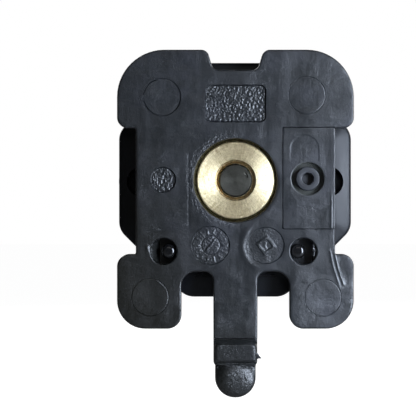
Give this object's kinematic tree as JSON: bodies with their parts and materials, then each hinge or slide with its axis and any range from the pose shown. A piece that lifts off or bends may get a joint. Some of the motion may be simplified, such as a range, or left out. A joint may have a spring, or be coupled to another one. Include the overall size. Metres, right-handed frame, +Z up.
{
  "type": "rotary battery switch",
  "caption": "Compact rotary battery switch: slide-in latch plate with snap tongue, brass spindle bush, round drum, two threaded terminal studs and a bar knob.",
  "frame": {"origin": "spindle axis at the back plane of the latch plate", "axes": "+Z up along the slide-in direction, the snap tongue at -Z; +X to the right seen from behind; +Y forward to the knob"},
  "size_m": [0.0514, 0.055, 0.0741],
  "materials": {
    "plate_plastic": "moulded, semi-gloss, slightly scuffed",
    "plunger_plastic": "moulded, semi-gloss",
    "pin_plastic": "glossy",
    "drum_plastic": "moulded, satin",
    "cover_plastic": "moulded, fine spark texture",
    "inner_plastic": "natural, satin",
    "bush_brass": "turned, bright",
    "spindle_steel": "dull, faced end",
    "spring_steel": "drawn wire",
    "plated_steel": "zinc plated",
    "stud_brass": "machined",
    "copper": "rolled copper, satin",
    "contact_silver": "silver alloy, satin",
    "seal_rubber": "matte",
    "knob_plastic": "moulded, satin red"
  },
  "bodies": {
    "housing": {"latch_plate": "plate_plastic", "plunger_cover": "plate_plastic", "plunger_spring": "spring_steel", "plate_pins": "pin_plastic", "bearing_bush": "bush_brass", "drum_housing": "drum_plastic", "detent_spring_upper": "spring_steel", "detent_spring_lower": "spring_steel", "contact_base": "inner_plastic", "fixed_contact_left": "copper", "fixed_contact_right": "copper", "fixed_contact_tips": "contact_silver", "terminal_stud_left": "stud_brass", "terminal_stud_right": "stud_brass", "jam_nuts": "stud_brass", "flat_washers": "plated_steel", "spring_washers": "plated_steel", "terminal_nuts": "stud_brass", "cover_gasket": "seal_rubber", "front_cover": "cover_plastic", "cover_screws": "plated_steel"},
    "rotor": {"spindle": "spindle_steel", "detent_wheel": "inner_plastic", "contact_spring": "spring_steel", "thrust_washer": "plated_steel", "spindle_seal": "seal_rubber", "knob": "knob_plastic", "knob_screw": "plated_steel", "knob_cap": "knob_plastic"},
    "bridge": {"contact_bridge": "copper", "bridge_tips": "contact_silver"},
    "plunger": {"seat_plunger": "plunger_plastic"},
    "tongue": {"latch_tongue": "plate_plastic"}
  },
  "joints": [
    {"name": "knob_turn", "type": "hinge", "parent": "housing", "child": "rotor", "pos_m": [0, 0.03, 0], "axis": [0, -1, 0], "range_deg": [0, 90], "deforming": ["detent_spring_upper", "detent_spring_lower"]},
    {"name": "bridge_lift", "type": "slide", "parent": "rotor", "child": "bridge", "axis": [0, 1, 0], "range_m": [0, 0.0008], "stiffness_N_per_m": 1500, "springref_m": -0.002, "deforming": ["contact_spring"]},
    {"name": "plunger_press", "type": "slide", "parent": "housing", "child": "plunger", "axis": [0, 1, 0], "range_m": [0, 0.0012], "stiffness_N_per_m": 600, "springref_m": -0.001, "deforming": ["plunger_spring"]},
    {"name": "tongue_flex", "type": "hinge", "parent": "housing", "child": "tongue", "pos_m": [0, 0.0011, -0.0205], "axis": [1, 0, 0], "range_deg": [0, 8], "stiffness_Nm_per_rad": 0.5}
  ]
}
